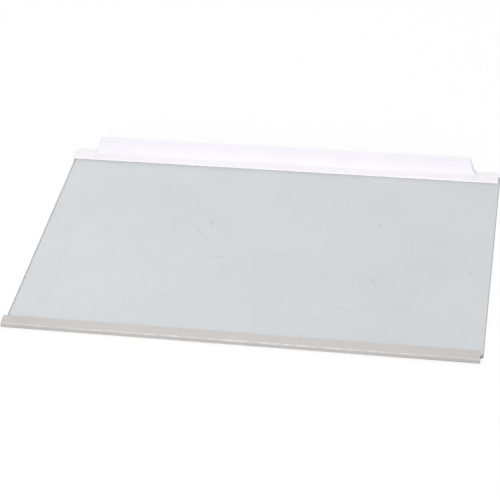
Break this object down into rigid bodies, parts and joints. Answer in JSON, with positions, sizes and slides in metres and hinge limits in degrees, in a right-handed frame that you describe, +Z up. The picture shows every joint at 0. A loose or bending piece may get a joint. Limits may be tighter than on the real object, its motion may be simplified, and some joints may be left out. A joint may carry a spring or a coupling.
{
  "type": "fridge glass shelf",
  "caption": "Flat fridge shelf: a toughened glass pane with a grey push-on strip along its front edge and a white strip with a raised back flange along its rear edge.",
  "frame": {"origin": "under the middle of the shelf's outline, on the plane that both strips rest on", "axes": "+X along the shelf's width to the user's right, +Y towards the back of the fridge, +Z up"},
  "size_m": [0.4782, 0.3054, 0.0247],
  "materials": {
    "glass": "clear toughened glass with a faint grey green tint and ground edges",
    "front_strip": "satin warm grey extruded plastic",
    "rear_strip": "satin white moulded plastic"
  },
  "bodies": {
    "root": {"glass_pane": "glass", "front_trim": "front_strip", "rear_trim": "rear_strip"}
  },
  "joints": []
}
